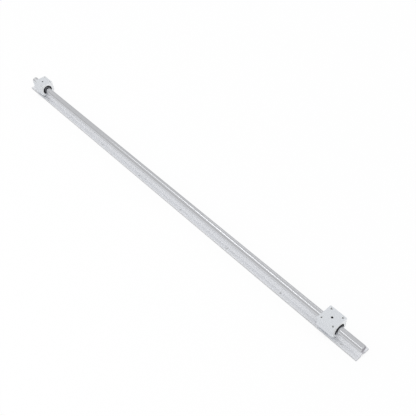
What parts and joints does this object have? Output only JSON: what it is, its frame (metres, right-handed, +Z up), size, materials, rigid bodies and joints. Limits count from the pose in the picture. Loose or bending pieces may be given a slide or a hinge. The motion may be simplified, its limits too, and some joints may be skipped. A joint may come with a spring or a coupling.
{
  "type": "supported round rail",
  "caption": "Round steel shaft screwed along an aluminium support rail with flanged base, carrying open ball-bearing carriages that slide along it.",
  "frame": {"origin": "bottom centre of the support rail, midway between its ends", "axes": "+X along the rail to the end that shows nearest in the picture, +Y across it, +Z up"},
  "size_m": [1.5, 0.048, 0.05],
  "materials": {
    "support_aluminium": "extruded and clear anodised, satin, fine die lines along the length",
    "shaft_chrome": "hard chromed and ground, bright",
    "housing_aluminium": "extruded, milled and sand-blasted, clear anodised",
    "bearing_steel": "hardened and ground bearing steel",
    "retainer_plastic": "moulded black plastic",
    "seal_rubber": "moulded black rubber, matt",
    "screw_steel": "black oxide steel"
  },
  "bodies": {
    "rail": {"support_rail": "support_aluminium", "shaft": "shaft_chrome"},
    "near_carriage": {"near_housing": "housing_aluminium", "near_bearing_sleeve": "bearing_steel", "near_ball_retainer": "retainer_plastic", "near_outer_seal": "seal_rubber", "near_inner_seal": "seal_rubber"},
    "far_carriage": {"far_housing": "housing_aluminium", "far_bearing_sleeve": "bearing_steel", "far_ball_retainer": "retainer_plastic", "far_outer_seal": "seal_rubber", "far_inner_seal": "seal_rubber"}
  },
  "joints": [
    {"name": "near_carriage_slide", "type": "slide", "parent": "rail", "child": "near_carriage", "axis": [1, 0, 0], "range_m": [-0.6265, 0.0695]},
    {"name": "far_carriage_slide", "type": "slide", "parent": "rail", "child": "far_carriage", "axis": [1, 0, 0], "range_m": [-0.0355, 0.6605]}
  ]
}
